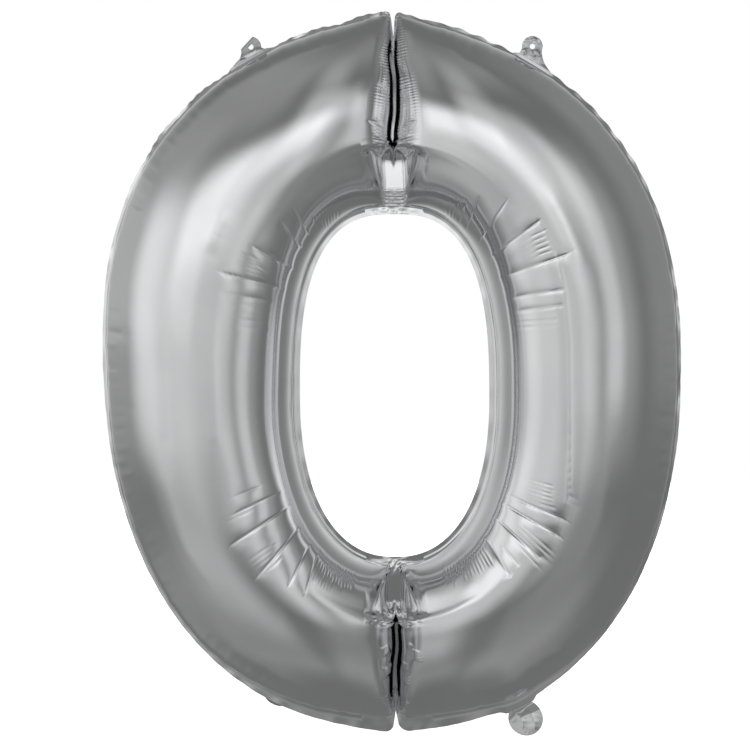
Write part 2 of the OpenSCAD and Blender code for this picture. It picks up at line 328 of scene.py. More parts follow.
def normals(p):
    """Unit normals of a closed ring of columns, facing the front."""
    du = np.roll(p, -1, axis=0) - np.roll(p, 1, axis=0)
    dv = np.empty_like(p)
    dv[:, 1:-1] = p[:, 2:] - p[:, :-2]
    dv[:, 0] = p[:, 1] - p[:, 0]
    dv[:, -1] = p[:, -1] - p[:, -2]
    n = np.cross(du, dv)
    n /= np.maximum(np.linalg.norm(n, axis=-1, keepdims=True), 1e-9)
    return n * np.where(n[..., 1:2] > 0, -1, 1)


# -------- hinges of the tabs and the tail
JOINTS = {j["child"]: j for j in frame["joints"]}
# Half the length of flange that runs straight along each hinge
HINGED = {"left_tab": 22, "right_tab": 22, "tail": 16}
HINGE_EASE = 8            # length over which the edge bends back to its own line
HINGE_NEAR = 30           # points further than this from the hinge's line belong elsewhere


def hinge(body):
    """Position of a body's hinge in millimetres, and its axis."""
    j = JOINTS[body]
    return np.array(j["pos_m"]) / MM, np.array(j["axis"])


def hinge_frame(body, x, z):
    """Distances of points along a hinge and away from the balloon's middle, and that direction."""
    at, axis = hinge(body)
    out = np.array((-axis[2], axis[0])) * np.sign(at[2])
    along_it = (x - at[0]) * axis[0] + (z - at[2]) * axis[2]
    return along_it, (x - at[0]) * out[0] + (z - at[2]) * out[1], out


def meet_hinges(flat, edge):
    """Moves the flange's edge to the straight hinges, and says how free it still is elsewhere."""
    free = np.ones_like(edge)
    for body, half in HINGED.items():
        along_it, off, out = hinge_frame(body, flat[..., 0], flat[..., 1])
        near = smooth((half + HINGE_EASE - np.abs(along_it)) / HINGE_EASE)
        near = near * (np.abs(off) < HINGE_NEAR)
        reach = np.where(edge > 0, off[:, -1:], 0)
        flat = flat - (out * ((reach * near)[..., None])) * edge[..., None]
        free = free * (1 - near)
    return flat, free


# -------- creases
CRUMPLE_WAVES = 5         # sets of parallel facets in a crumpled patch


class Relief:
    """Heights over points (x, z), to which creases, bunches and crumpled patches are added."""

    def __init__(self, x, z):
        self.x, self.z = x, z
        self.h = np.zeros_like(x)

    def crease(self, points, height, width=1.5, roof=0.8, spread=9, tip=0.18, end=None):
        """A crease along a line of points: a sharp edge on top of a broad low roof."""
        p = np.array(points, float)
        low, high = p.min(axis=0) - 4 * spread, p.max(axis=0) + 4 * spread
        near = (self.x > low[0]) & (self.x < high[0]) & (self.z > low[1]) & (self.z < high[1])
        x, z = self.x[near], self.z[near]
        best, place = np.full_like(x, 1e9), np.zeros_like(x)
        ends = path_lengths(p[:, 0], p[:, 1])
        for a, b, start in zip(p[:-1], p[1:], ends[:-1]):
            run = np.hypot(*(b - a))
            along_it = ((x - a[0]) * (b[0] - a[0]) + (z - a[1]) * (b[1] - a[1])) / run
            t = np.clip(along_it, 0, run)
            off = np.hypot(x - a[0] - (b[0] - a[0]) * t / run, z - a[1] - (b[1] - a[1]) * t / run)
            place = np.where(off < best, start + t, place)
            best = np.minimum(best, off)
        place = place / ends[-1]
        fade = smooth(place / tip) * smooth((1 - place) / (end or tip))
        self.h[near] += height * (fade * np.exp(-best / width) + roof * fade * np.exp(-(best / spread) ** 2))

    def bunch(self, first, last, count, height, width=1.1, roof=0.0, rng=None):
        """Creases side by side, spaced evenly from the first line to the last."""
        first, last = np.array(first, float), np.array(last, float)
        for t in np.linspace(0, 1, count):
            line = first + (last - first) * t
            size = height
            if rng is not None:
                middle = line.mean(axis=0)
                line = middle + (line - middle) * rng.uniform(0.75, 1.2)
                size = height * rng.uniform(0.6, 1.2)
            self.crease(line, size, width, roof, 4, 0.5, 0.08)

    def crumple(self, middle, radii, height, size, seed):
        """A patch of flat facets in all directions, like crushed foil."""
        rng = np.random.default_rng(seed)
        window = bell(np.hypot((self.x - middle[0]) / radii[0], (self.z - middle[1]) / radii[1]) ** 2)
        near = window > 0.01
        x, z = self.x[near], self.z[near]
        total = np.zeros_like(x)
        for _ in range(CRUMPLE_WAVES):
            a, pitch, phase = rng.uniform(0, np.pi), size * rng.uniform(0.6, 1.5), rng.uniform(0, 1)
            t = (x * np.cos(a) + z * np.sin(a)) / pitch + phase
            total += 2 * np.abs(t - np.round(t))
        self.h[near] += height * window[near] * total / CRUMPLE_WAVES


CREASE_STRENGTH = 1.8
BUNCH_STRENGTH = 2.6
LONG_STRENGTH = 2.2

# Main creases of the tubes' inner flanks: where they start near the opening, where they end, height.
FLANK_CREASES = [
    ((-124, 98), (-198, 114), 0.55), ((-135, 83), (-197, 90), 0.3), ((-113, 120), (-160, 144), 0.5),
    ((-103, 143), (-130, 174), 0.45), ((-95, 158), (-114, 187), 0.35),
    ((121, 109), (206, 138), 0.5), ((112, 133), (172, 177), 0.6), ((100, 152), (133, 200), 0.5),
    ((86, 168), (100, 205), 0.4), ((78, 175), (83, 198), 0.3), ((141, 72), (200, 78), 0.3),
    ((135, 87), (200, 96), 0.45),
    ((-113, -152), (-185, -198), 0.6), ((-103, -175), (-155, -235), 0.6), ((-126, -137), (-182, -163), 0.4),
    ((-162, -160), (-183, -168), 0.3), ((-94, -197), (-121, -248), 0.45), ((-85, -206), (-101, -256), 0.4),
    ((-152, -132), (-180, -142), 0.25),
    ((131, -142), (199, -170), 0.5), ((125, -151), (193, -189), 0.55), ((118, -168), (174, -217), 0.55),
    ((107, -191), (137, -237), 0.5), ((125, -199), (147, -224), 0.25),
]

# Fans of short creases: first line, last line, how many, height.
FLANK_BUNCHES = [
    (((-94, 184), (-86, 168)), ((-62, 197), (-64, 180)), 8, 0.22),
    (((-179, 140), (-155, 132)), ((-176, 118), (-150, 112)), 5, 0.2),
    (((-190, 80), (-146, 77)), ((-190, 51), (-148, 51)), 7, 0.16),
    (((149, 152), (178, 165)), ((158, 132), (187, 142)), 5, 0.22),
    (((135, 70), (190, 75)), ((138, 52), (188, 54)), 4, 0.18),
    (((63, 176), (62, 196)), ((80, 180), (86, 202)), 6, 0.22),
    (((-165, -215), (-140, -200)), ((-152, -234), (-128, -216)), 5, 0.22),
    (((-86, -215), (-96, -240)), ((-44, -228), (-48, -254)), 14, 0.24),
    (((155, -124), (188, -132)), ((150, -146), (186, -156)), 6, 0.2),
    (((149, -176), (183, -206)), ((136, -190), (166, -222)), 5, 0.22),
    (((61, -226), (64, -245)), ((106, -205), (116, -222)), 14, 0.22),
]

# Long creases along the tubes: points and height.
LONG_CREASES = [
    (((131, 224), (167, 180), (190, 138), (199, 92), (204, 33), (205, -60), (204, -152), (190, -188),
      (177, -217), (117, -293)), -0.45),
    (((174, 224), (194, 189), (215, 142), (223, 110)), 0.3),
    (((-191, 191), (-207, 160), (-214, 134)), 0.3),
    (((-262, 98), (-263, -20), (-259, -140)), -0.3),
    (((-205, 110), (-208, 20), (-204, -120)), 0.25),
    (((-268, -100), (-240, -200), (-190, -270)), 0.25),
    (((250, -60), (240, -170), (200, -260)), 0.25),
]

# Folds across the lips and round the gas channel: points, height, width.
LIP_FOLDS = [
    (((-31, 293), (-17, 291), (-6, 286)), -1.3, 1.1),
    (((9, 286), (18, 290), (28, 294)), -1.3, 1.1),
    (((-29, 262), (-19, 257), (-12, 254)), -1.5, 1.2),
    (((15, 254), (22, 257), (27, 261)), -1.3, 1.2),
    (((-24, 281), (-13, 274), (1, 271), (14, 274), (24, 281)), 1.4, 1.2),
    (((-24, 337), (-14, 334), (-5, 329)), -0.5, 0.9),
    (((-24, 332), (-14, 329), (-6, 325)), -0.4, 0.9),
    (((4, 331), (12, 334), (20, 335)), -0.5, 0.9),
    (((-12, -300), (-2, -297), (5, -292), (12, -297), (22, -300)), 1.6, 1.2),
    (((-26, -293), (-18, -290), (-12, -284)), -1.2, 1.0),
    (((22, -284), (27, -289), (33, -294)), -1.4, 1.0),
]

# Ribs across the foot's lips, which rise towards the slit.
FOOT_RIBS = [
    (((-18, -326), (-6, -319)), ((-18, -334), (-4, -326)), 4, 0.55),
    (((-13, -352), (1, -341)), ((-11, -360), (0, -350)), 4, 0.6),
    (((-13, -384), (-3, -381)), ((-10, -394), (-1, -391)), 4, 0.4),
    (((22, -322), (33, -327)), ((21, -330), (34, -336)), 4, 0.5),
    (((13, -352), (20, -358)), ((12, -359), (19, -366)), 3, 0.5),
    (((14, -386), (20, -391)), ((13, -393), (18, -399)), 4, 0.45),
]
FOOT_RIB_STRENGTH = 2.6

# Crumpled knots of film at the ends of the slits: middle, radii, height, size of a facet, seed.
KNOTS = [
    ((1, 209), (16, 9), 1.6, 6, 11),
    ((2, 260), (13, 5), 1.8, 5, 12),
    ((-8, 424), (6, 7), 2.5, 4, 17),
    ((4, -284), (20, 9), 2.2, 6, 13),
    ((6, -232), (18, 9), 2.4, 6, 14),
    ((-3, 396), (9, 9), 1.2, 5, 15),
    ((5, -398), (12, 8), 1.2, 5, 16),
]

RIB_PITCH = 3.5           # spacing of the ribs across the crown's lips
WEB_FOLD_PITCH = 4.2      # spacing of the folds across the web beside the opening


def crown_ribs(g, relief):
    """Fine ribs across the lips below the crown's notch, where the film is gathered by the seal."""
    z, off = relief.z, g.from_slit
    lip = smooth((off - OUTER_WEB) / 3) * smooth((1.05 * lip_reach(g) - off) / 8)
    strength = 0.35 * smooth((z - 352) / 14) + 0.35 * smooth((z - 262) / 10)
    strength = strength * (0.65 + 0.35 * np.sin(z / 7.7 + 2 * g.side_at))
    wave = np.sin(2 * np.pi * (z - 0.12 * off) / RIB_PITCH + 1.2 * np.sin(z / 5.3 + g.side_at))
    relief.h += np.where(g.u_at < 0.5, strength * lip * wave, 0)


def web_folds(g, relief):
    """Level folds across the crown's web, just above the opening."""
    z = relief.z
    strength = 0.7 * smooth((222 - z) / 8) * smooth((z - 196) / 4) * smooth((15 - g.from_slit) / 4)
    relief.h += np.where(g.u_at < 0.5, strength * np.sin(2 * np.pi * z / WEB_FOLD_PITCH), 0)


PUCKER_MARGIN = 30        # no puckers this close to a slit


def seam_puckers(relief, rng):
    """Short creases that run in from the outer seam."""
    s = float(PUCKER_MARGIN)
    while s < OUTER[0][-1] - PUCKER_MARGIN:
        u = s / OUTER[0][-1]
        for side in (LEFT, RIGHT):
            end = outer_edge(side, np.array([u]))[0]
            start = inner_edge(side, np.array([u]))[0]
            inward = (start - end) / np.hypot(*(start - end))
            near = end + inward * (outer_flange(u) + 1)
            relief.crease([near - 6 * inward, near + inward * rng.uniform(14, 42)],
                          rng.uniform(0.3, 0.8) * rng.choice([-1, 1]), 2.0, 0.5, 5, 0.3)
        s += rng.uniform(13, 30)


DENT = 0.15               # height of one set of dents
DENT_SETS = 7


def dents(relief, rng):
    """Broad shallow dents, which bend the reflections a little."""
    for _ in range(DENT_SETS):
        a, pitch, phase = rng.uniform(0, np.pi), rng.uniform(80, 190), rng.uniform(0, 2 * np.pi)
        across = relief.x * np.cos(a) + relief.z * np.sin(a)
        relief.h += DENT * np.sin(2 * np.pi * across / pitch + phase)


def film_relief(g, rng):
    """Creases of one film panel, as heights along its normal."""
    relief = Relief(g.flat[..., 0], g.flat[..., 1])
    dents(relief, rng)
    for start, end, height in FLANK_CREASES:
        relief.crease([start, end], -CREASE_STRENGTH * height, 1.1, 0.5, 7, 0.3, 0.08)
    for first, last, count, height in FLANK_BUNCHES:
        relief.bunch(first, last, count, -BUNCH_STRENGTH * height, 1.0, rng=rng)
    for points, height in LONG_CREASES:
        relief.crease(points, LONG_STRENGTH * height, 2.2, 0.7, 8, 0.3)
    for points, height, width in LIP_FOLDS:
        relief.crease(points, height, width, 0.15, 3, 0.3)
    for first, last, count, height in FOOT_RIBS:
        relief.bunch(first, last, count, FOOT_RIB_STRENGTH * height, 1.1)
    seam_puckers(relief, rng)
    crown_ribs(g, relief)
    web_folds(g, relief)
    for middle, radii, height, size, seed in KNOTS:
        relief.crumple(middle, radii, height, size, seed)
    return relief.h


SLIT_LEAN = 1.5           # how far the gap between the lips winds
SLIT_LEAN_REACH = 16      # distance from the slit over which that dies away


def slit_sway(g):
    """How far the film beside a slit leans sideways, so that the gap between the lips winds."""
    z = g.flat[..., 1]
    inside = smooth(g.share / 0.2) * smooth((1 - g.share) / 0.2)
    together = np.sin(z / 17 + 1.2) + 0.25 * np.sin(z / 6.7)
    apart = g.side_at * np.sin(z / 21 + 0.6) * smooth((g.from_slit - SLIT_WEB) / 4)
    return SLIT_LEAN * bell(g.from_slit / SLIT_LEAN_REACH) * inside * (together + 0.7 * apart)


def flange_sway(g, free):
    """How far the flanges leave the seam's plane. Both films move together there."""
    x, z = g.flat[..., 0], g.flat[..., 1]
    near_inner = np.exp(-np.maximum(g.place - INNER_FLANGE, 0) / 5)
    flange = outer_flange(g.u)[:, None]
    near_outer = np.exp(-np.maximum(g.from_outer - flange, 0) / 4)
    knots = Relief(x, z)
    knots.crumple((2, 193), (26, 9), 2, 12, 21)
    knots.crumple((5, -222), (30, 9), 2, 12, 22)
    wave = 0.5 * np.sin(x / 9.1 + z / 7.3) + 0.4 * np.sin(x / 4.3 - z / 5.9)
    inner = near_inner * (0.25 * wave + knots.h)
    curl = smooth(1 - g.from_outer / flange)
    lift = 0.8 + 0.5 * np.sin(x / 17 + z / 23) + 0.4 * np.sin(x / 6.1 - z / 8.7)
    return inner + (near_outer * wave * 0.3 + curl * lift * 1.6) * free


def ragged(g, edge):
    """How far the cut edge of the outer flange stands in or out of its line."""
    x, z = g.flat[..., 0], g.flat[..., 1]
    humps = np.sin(x / 14 + z / 19) + 0.6 * np.sin(x / 5.2 - z / 7.1) + 0.5 * np.sin(x / 2.6 + z / 3.4)
    at_crown = 0.2 + 0.9 * smooth((0.36 - g.u_at) / 0.1)
    return edge * humps * at_crown * smooth((g.from_slit - 6) / 12)


def film_points(g, face, rng):
    """Points of one film panel: the inflated form, its creases, and the way its flanges sway."""
    edge = smooth(1 - g.from_outer / outer_flange(g.u)[:, None])
    flat, free = meet_hinges(g.flat, edge)
    flat = flat + g.across[:, None, :] * (ragged(g, edge) * free)[..., None]
    base = np.empty(flat.shape[:2] + (3,))
    base[..., 0] = flat[..., 0] + slit_sway(g)
    base[..., 1] = -(WALL / 2 + depth(g))
    base[..., 2] = flat[..., 1]
    base += normals(base) * film_relief(g, rng)[..., None]
    base[..., 1] = np.minimum(base[..., 1], -WALL / 2)
    base[..., 1] *= -face
    base[..., 1] += flange_sway(g, free)
    return base


# -------- meshes
def block_cells(blocks):
    """Cells of the blocks, each as first and last column, first and last row."""
    cells = []
    for first_c, last_c, first_r, last_r, step_c, step_r in blocks:
        for c in range(first_c, last_c, step_c):
            for r in range(first_r, last_r, step_r):
                cells.append((c, c + step_c, r, r + step_r))
    return cells


def block_faces(columns, rows, blocks):
    """Faces of a lattice of columns by rows that closes on itself. Blocks lists first and last column,
    first and last row, and a cell's columns and rows. A coarse cell takes in the corners of its finer
    neighbours."""
    corners = np.zeros((columns + 1, rows), bool)
    cells = block_cells(blocks)
    for c, d, r, s in cells:
        corners[[c, d, c, d], [r, r, s, s]] = True
    corners[0] |= corners[columns]
    corners[columns] = corners[0]
    faces = []
    for c, d, r, s in cells:
        loop = [(k, r) for k in range(c, d) if corners[k, r]]
        loop += [(d, k) for k in range(r, s) if corners[d, k]]
        loop += [(k, s) for k in range(d, c, -1) if corners[k, s]]
        loop += [(c, k) for k in range(s, r, -1) if corners[c, k]]
        faces.append([(k % columns) * rows + j for k, j in loop])
    return faces


def mesh_object(name, points, faces):
    """A mesh in metres from points in millimetres. Points that no face uses are dropped."""
    used = np.unique(np.concatenate([np.array(f) for f in faces]))
    new = np.full(len(points), -1)
    new[used] = np.arange(len(used))
    data = bpy.data.meshes.new(name)
    data.from_pydata((points[used] * MM).tolist(), [], [[int(new[v]) for v in f] for f in faces])
    data.shade_smooth()
    data.validate()
    obj = bpy.data.objects.new(name, data)
    bpy.context.scene.collection.objects.link(obj)
    return obj


# Stations along one side between which the inner flank is creased, so its cells are finer there.
CREASED = [(0.04, 0.36), (0.60, 0.96)]
LONG_CREASE_ROWS = (132, 162)    # rows of the long crease on the right side
PUCKER_ROW = 270                 # where the outer seam's puckers start


def film_blocks(g):
    """Blocks of cells for block_faces: fine at the slits and creases, coarse elsewhere."""
    lip, last = g.lip, g.last
    rows = g.rows - 1
    half = INNER_ROWS + SECTION_ROWS // 2
    blocks = []
    for a, b in ((0, lip), (last - lip, last + lip), (g.columns - lip, g.columns)):
        blocks.append((a, b, 0, rows, 1, 1))
    for c in range(lip, last - lip, COARSE):
        creased = any(low < g.u[c] < high for low, high in CREASED)
        fine = 1 if creased else 2
        low, high = LONG_CREASE_ROWS
        for k, row_step in ((c, 2), (2 * last - c - COARSE, COARSE_ROWS)):
            blocks.append((k, k + COARSE, 0, low, fine, COARSE_ROWS))
            blocks.append((k, k + COARSE, low, high, fine, row_step))
            blocks.append((k, k + COARSE, high, half, fine, COARSE_ROWS))
            blocks.append((k, k + COARSE, half, PUCKER_ROW, COARSE, COARSE_ROWS))
            blocks.append((k, k + COARSE, PUCKER_ROW, rows, 2, COARSE_ROWS))
    return blocks


PANEL_SEEDS = {FRONT: 7, BACK: 8}


def film_panel(name, face):
    """One inflated film panel."""
    g = Lattice()
    rng = np.random.default_rng(PANEL_SEEDS[face])
    p = film_points(g, face, rng).reshape(-1, 3)
    faces = block_faces(g.columns, g.rows, film_blocks(g))
    if face == BACK:
        faces = [f[::-1] for f in faces]
    return mesh_object(name, p, faces)


# -------- tabs, tail and valve
def bend(a, c, b, count=24):
    """Smooth curve from a to b that leaves a towards c."""
    a, c, b = (np.array(v, float) for v in (a, c, b))
    t = np.linspace(0, 1, count, endpoint=False)[:, None]
    return (1 - t) ** 2 * a + 2 * t * (1 - t) * c + t ** 2 * b


def arc(radius, start, end, count=60):
    a = np.linspace(start, end, count, endpoint=False)
    return radius * np.stack([np.cos(a), np.sin(a)], -1)


def even(outline, count):
    """The same closed outline with evenly spaced points."""
    p = np.concatenate([outline, outline[:1]])
    s = path_lengths(p[:, 0], p[:, 1])
    at = np.linspace(0, s[-1], count, endpoint=False)
    return np.stack([np.interp(at, s, p[:, 0]), np.interp(at, s, p[:, 1])], -1)


def thin_sheet(name, outline, hole, rows, place, thickness):
    """A closed thin sheet between a hole's rim and an outline round it. place(a, b) gives its surface."""
    count = len(outline)
    angle = np.unwrap(np.arctan2(outline[:, 1], outline[:, 0]))
    rim = hole * np.stack([np.cos(angle), np.sin(angle)], -1)
    t = np.linspace(0, 1, rows)[None, :, None]
    flat = rim[:, None, :] * (1 - t) + outline[:, None, :] * t
    middle = place(flat[..., 0], flat[..., 1])
    n = normals_of(middle)
    ring = np.concatenate([middle + n * thickness / 2, (middle - n * thickness / 2)[:, ::-1]], axis=1)
    return mesh_object(name, ring.reshape(-1, 3), ring_faces(count, 2 * rows))


def ring_faces(count, around):
    """Faces of a surface that closes both ways."""
    faces = []
    for c in range(count):
        for r in range(around):
            here, there = c * around, (c + 1) % count * around
            after = (r + 1) % around
            faces.append([here + r, here + after, there + after, there + r])
    return faces


def normals_of(p):
    """Unit normals of a sheet whose columns close on themselves."""
    du = np.roll(p, -1, axis=0) - np.roll(p, 1, axis=0)
    n = np.cross(du, np.gradient(p, axis=1))
    return n / np.maximum(np.linalg.norm(n, axis=-1, keepdims=True), 1e-9)


TAB_R = 12.4
TAB_HOLE_R = 3.2
TAB_FLARE = 22
ROOT_CLEAR = 0.1
FILM = 0.3                # thickness of a tab, drawn thicker than the real film
SHEET_POINTS = 200        # points round a tab or a leaf of the tail
TAB_ROWS = 26             # rows from a tab's hole to its edge
LEFT_TAB_HOLE = np.array((-168.49, 388.43))
RIGHT_TAB_HOLE = np.array((167.55, 389.0))


def crown_tab_outline(side, body, hole):
    """Outline of a crown tab in the seam's plane, measured from its hole."""
    at, axis = hinge(body)
    lengthwise = np.array((side * axis[0], side * axis[2]))
    out = np.array((-axis[2], axis[0]))
    root = at[[0, 2]] + ROOT_CLEAR * out - hole
    near, far = root - TAB_FLARE * lengthwise, root + TAB_FLARE * lengthwise
    mirror = np.array((side, 1))
    near_side = bend(near, mirror * (-TAB_R, near[1] / 2), mirror * (-TAB_R, 0))
    top = arc(TAB_R, np.pi, 0) * mirror
    far_side = bend(mirror * (TAB_R, 0), mirror * (0.65 * TAB_R, -14), far)
    return even(np.concatenate([near_side, top, far_side, [far]]), SHEET_POINTS)


LEFT_FOLD = np.array((-0.74, 0.67))    # the left tab's edge is folded back where it faces this way
LEFT_FOLD_AT = 6.1                     # distance from the hole to the fold
FOLD_R = 0.6


def left_tab_surface(a, b):
    """Surface of the top left tab, whose left edge is folded over to the back."""
    over = np.maximum(a * LEFT_FOLD[0] + b * LEFT_FOLD[1] - LEFT_FOLD_AT, 0)
    over = over * smooth((b + 9) / 5)
    turn = np.minimum(over / FOLD_R, np.pi)
    back_in = np.maximum(over - np.pi * FOLD_R, 0)
    move = FOLD_R * np.sin(turn) - back_in - over
    relief = Relief(a, b)
    relief.crease([(-3, -15), (0, -11), (4, -8)], 1.2, 0.8, 0.3, 3)
    relief.bunch([(13, -1), (17, -9)], [(18, -4), (22, -11)], 3, 1.1, 0.7)
    relief.crease([(-14, -12), (-7, -14), (0, -14)], 1.2, 1.0, 0.6, 3)
    relief.crumple((10, -8), (9, 6), 1.6, 7, 31)
    x, z = a + move * LEFT_FOLD[0], b + move * LEFT_FOLD[1]
    at_root = from_root("left_tab", a, b, LEFT_TAB_HOLE)
    y = FOLD_R * (1 - np.cos(turn)) - (relief.h * root_fade(a, b) - 0.05 * (a + 0.6 * b)) * at_root
    return np.stack([x + LEFT_TAB_HOLE[0], y, z + LEFT_TAB_HOLE[1]], -1)


def from_root(body, a, b, hole):
    """Nought along the root of a tab, so that it stays straight on its hinge."""
    return smooth(hinge_frame(body, a + hole[0], b + hole[1])[1] / 5)


def root_fade(a, b):
    """Nought at the hole's rim, so that the hole stays round."""
    return smooth((np.hypot(a, b) - TAB_HOLE_R) / 3)


def right_tab_surface(a, b):
    """Surface of the top right tab."""
    relief = Relief(a, b)
    relief.crumple((6, 9), (8, 6), 1.8, 5, 32)
    relief.crumple((-6, 8), (6, 6), 0.8, 4, 33)
    relief.crease([(0, -4), (0, -10)], 0.7, 0.9, 0.2, 3)
    relief.crease([(2, -5), (6, -6), (9, -10)], 0.9, 0.9, 0.4, 3)
    relief.crease([(-10, -2), (-8, -8), (-12, -13)], 0.9, 1.0, 0.6, 4)
    relief.bunch([(-9, -12), (-3, -19)], [(-3, -12), (1, -20)], 3, 1.2, 0.7)
    relief.crumple((4, -15), (10, 5), 1.4, 6, 34)
    y = -(relief.h * root_fade(a, b) - 0.06 * a) * from_root("right_tab", a, b, RIGHT_TAB_HOLE)
    return np.stack([a + RIGHT_TAB_HOLE[0], y, b + RIGHT_TAB_HOLE[1]], -1)


FOOT_TAB_HOLE = 16.7      # distance from the hinge to the hole
FOOT_TAB_FLARE = 17
FOOT_TAB_FOLD = math.radians(60)


def foot_tab_outline():
    """Outline of the foot tab, measured from its hole, with its root on the hinge below it."""
    root = ROOT_CLEAR - FOOT_TAB_HOLE
    neck = 5 - FOOT_TAB_HOLE
    near = bend((-FOOT_TAB_FLARE, root), (-0.75 * TAB_R, neck), (-TAB_R, 0))
    far = bend((TAB_R, 0), (0.75 * TAB_R, neck), (FOOT_TAB_FLARE, root))
    return even(np.concatenate([near, arc(TAB_R, np.pi, 0), far, [(FOOT_TAB_FLARE, root)]]), SHEET_POINTS)


def foot_tab_surface(a, b):
    """The foot tab turns back behind the flange on its hinge."""
    at, axis = hinge("foot_tab")
    down = np.array((axis[2], 0, -axis[0]))
    out = down * math.cos(FOOT_TAB_FOLD) + np.array((0, 1, 0)) * math.sin(FOOT_TAB_FOLD)
    relief = Relief(a, b)
    relief.crumple((0, 4), (13, 10), 1.2, 8, 35)
    relief.crease([(-9, -2), (0, -6), (9, -3)], 0.6, 1.0, 0.4, 3)
    h = relief.h * root_fade(a, b) * smooth((b + FOOT_TAB_HOLE) / 6)
    n = np.cross(axis, out)
    place = (b + FOOT_TAB_HOLE)[..., None] * out + a[..., None] * axis + h[..., None] * n
    return at + place


TAIL_R = 20.3
TAIL_CENTRE = 13.5
TAIL_CURL = 0.17          # the tail curls to the front
TAIL_TURN = 0.24          # its right side stands further forward
MOUTH = 1.6               # half the gap between the tail's leaves at their free end
PINHOLE_R = 0.3           # each leaf is meshed round a pinhole at its middle
TAIL_ROWS = 30


def tail_outline():
    """Round end of the tail, cut straight along its hinge, measured from the round's middle."""
    cut = TAIL_CENTRE - ROOT_CLEAR
    half = math.acos(cut / TAIL_R)
    turn = arc(TAIL_R, math.pi / 2 + half, 5 * math.pi / 2 - half, 160)
    return even(np.concatenate([turn, [(math.sqrt(TAIL_R ** 2 - cut ** 2), cut)]]), SHEET_POINTS)


def tail_surface(face):
    """Surface of one leaf of the tail. The leaves part a little towards their free end."""
    at, axis = hinge("tail")
    out = np.array((axis[2], 0, -axis[0]))

    def surface(a, b):
        away = TAIL_CENTRE - b
        relief = Relief(a, b)
        relief.crease([(-14, 12), (-6, 6), (-5, -2), (-9, -12)], 1.0, 0.9, 0.8, 4)
        relief.crease([(4, 12), (9, 3), (8, -8), (3, -18)], 1.1, 0.9, 0.9, 4)
        relief.crease([(-18, 2), (-10, 4), (-4, 9)], 0.9, 0.8, 0.8, 4)
        relief.crumple((2, -2), (15, 13), 0.8, 7, 36 + face)
        relief.crumple((-8, -15), (8, 5), 0.7, 4, 38)
        rise = smooth(away / 12)
        h = FILM / 2 + rise * (MOUTH * bell(a / 16) * smooth(away / 30) + 0.5 * np.abs(relief.h))
        place = a[..., None] * axis + away[..., None] * out
        place[..., 1] += face * h - (TAIL_CURL * away + TAIL_TURN * place[..., 0]) * rise
        return at + place
    return surface


VALVE_W, VALVE_L = 30, 95
VALVE_START = 17          # distance from the flange's edge to the valve's outer end
VALVE_COLUMNS, VALVE_ROWS = 24, 60
HINGE_OUT = 1.4           # distance of the tail's hinge outside the flange's edge
VALVE_SKIN = 0.1          # thickness of a valve film


def valve_film(name, face):
    """One film of the self-sealing valve, which lies flat inside the foot of the right chamber."""
    at, axis = hinge("tail")
    inward = np.array((-axis[2], 0, axis[0]))
    a, b = np.meshgrid(np.linspace(-0.5, 0.5, VALVE_COLUMNS) * VALVE_W,
                       np.linspace(0, VALVE_L, VALVE_ROWS) + VALVE_START + HINGE_OUT, indexing="ij")
    gap = 0.2 + 0.5 * np.cos(np.pi * a / VALVE_W) * smooth((b - VALVE_START) / 20)
    points = at + a[..., None] * axis + b[..., None] * inward
    points[..., 1] += face * gap
    skin = points.copy()
    skin[..., 1] += face * VALVE_SKIN
    faces = skin_faces(VALVE_COLUMNS, VALVE_ROWS)
    if face == FRONT:
        faces = [f[::-1] for f in faces]
    return mesh_object(name, np.concatenate([points, skin]).reshape(-1, 3), faces)


def skin_faces(columns, rows):
    """Faces of a thin closed sheet: the inner skin, the outer skin and the rim between them."""
    grid = np.arange(columns * rows).reshape(columns, rows)
    corners = (grid[:-1, :-1], grid[:-1, 1:], grid[1:, 1:], grid[1:, :-1])
    sheet = np.stack(corners, -1).reshape(-1, 4).tolist()
    rim = np.concatenate([grid[:, 0], grid[-1, 1:], grid[-2::-1, -1], grid[0, -2:0:-1]]).tolist()
    n = columns * rows
    sides = [[a, b, b + n, a + n] for a, b in zip(rim, rim[1:] + rim[:1])]
    return [f[::-1] for f in sheet] + [[v + n for v in f] for f in sheet] + sides


# -------- materials
def new_material(name):
    """A material with its nodes, its links and its surface shader."""
    m = bpy.data.materials.new(name)
    m.use_nodes = True
    return m, m.node_tree.nodes, m.node_tree.links, m.node_tree.nodes["Principled BSDF"]


def noise(nodes, links, scale, detail, low, high):
    """Noise over the object's own coordinates, spread from low to high."""
    at = nodes.new("ShaderNodeTexCoord")
    n = nodes.new("ShaderNodeTexNoise")
    n.inputs["Scale"].default_value = scale
    n.inputs["Detail"].default_value = detail
    links.new(at.outputs["Object"], n.inputs["Vector"])
    spread = nodes.new("ShaderNodeMapRange")
    spread.inputs["From Min"].default_value = 0.3
    spread.inputs["From Max"].default_value = 0.7
    spread.inputs["To Min"].default_value = low
    spread.inputs["To Max"].default_value = high
    links.new(n.outputs["Fac"], spread.inputs["Value"])
    return spread.outputs["Result"]


